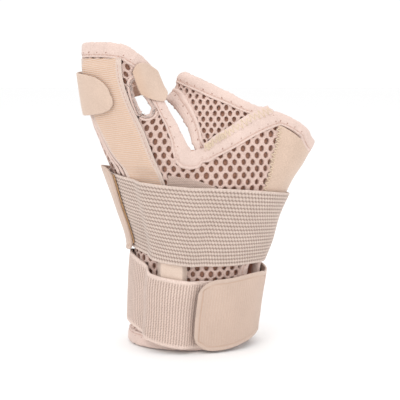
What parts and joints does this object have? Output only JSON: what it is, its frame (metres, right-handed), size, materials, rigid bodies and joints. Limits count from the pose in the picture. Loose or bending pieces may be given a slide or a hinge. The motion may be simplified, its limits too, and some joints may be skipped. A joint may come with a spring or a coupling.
{
  "type": "thumb and wrist splint",
  "caption": "Honeycomb-mesh thumb and wrist splint with bound edges, metal stays in pockets, and elastic straps whose hook-and-loop end tabs peel open.",
  "frame": {"origin": "centre of the forearm opening, in the plane of the hem", "axes": "+Z from the forearm hem towards the fingers, -X towards the thumb, -Y out of the palm side, so +Y is the back of the hand"},
  "size_m": [0.1455, 0.0722, 0.1863],
  "materials": {
    "mesh": "open honeycomb spacer mesh",
    "lining": "brushed knit lining",
    "loop_fabric": "napped loop fabric",
    "pocket_fabric": "fine ribbed fabric",
    "binding": "folded binding tape, stitched",
    "elastic": "ribbed elastic webbing",
    "strap_fabric": "soft strap fabric",
    "tab_fabric": "ribbed tab fabric, stitched edge",
    "hook": "hook fastener",
    "stay_metal": "bare, rounded ends"
  },
  "bodies": {
    "sleeve": {"palm_mesh": "mesh", "palm_lining": "lining", "dorsal_mesh": "mesh", "dorsal_lining": "lining", "ulnar_panel": "loop_fabric", "web_bridge": "mesh", "web_bridge_lining": "lining", "edge_binding": "binding", "web_rim_binding": "binding", "web_hole_binding": "binding", "dorsal_hole_binding": "binding", "slot_binding": "binding", "slit_binding": "binding", "hem_binding": "binding", "web_seam_tape": "strap_fabric", "thumb_pocket": "pocket_fabric", "thumb_stay": "stay_metal", "wrist_pocket": "pocket_fabric", "thumb_strap": "strap_fabric", "wide_strap": "elastic", "wrist_strap": "elastic"},
    "thumb_tab_end": {"thumb_tab": "strap_fabric", "thumb_hook_pad": "hook"},
    "wide_tab_end": {"wide_tab": "tab_fabric", "wide_hook_pad": "hook"},
    "wrist_tab_end": {"wrist_tab": "tab_fabric", "wrist_hook_pad": "hook"},
    "removable_wrist_stay": {"wrist_stay": "stay_metal"}
  },
  "joints": [
    {"name": "thumb_tab_peel", "type": "hinge", "parent": "sleeve", "child": "thumb_tab_end", "pos_m": [-0.06534, -0.00303, 0.1562], "axis": [0.1409, 0.0948, -0.9855], "range_deg": [0, 100]},
    {"name": "wide_tab_peel", "type": "hinge", "parent": "sleeve", "child": "wide_tab_end", "pos_m": [-0.03927, 0.01758, 0.0835], "axis": [0.2282, -0.0193, -0.9734], "range_deg": [0, 100]},
    {"name": "wrist_tab_peel", "type": "hinge", "parent": "sleeve", "child": "wrist_tab_end", "pos_m": [0.04535, -0.00817, 0.0265], "axis": [0.1313, -0.0016, 0.9913], "range_deg": [0, 100]},
    {"name": "wrist_stay_slide", "type": "slide", "parent": "sleeve", "child": "removable_wrist_stay", "axis": [-0.0065, -0.0235, 0.9997], "range_m": [0, 0.028]}
  ]
}
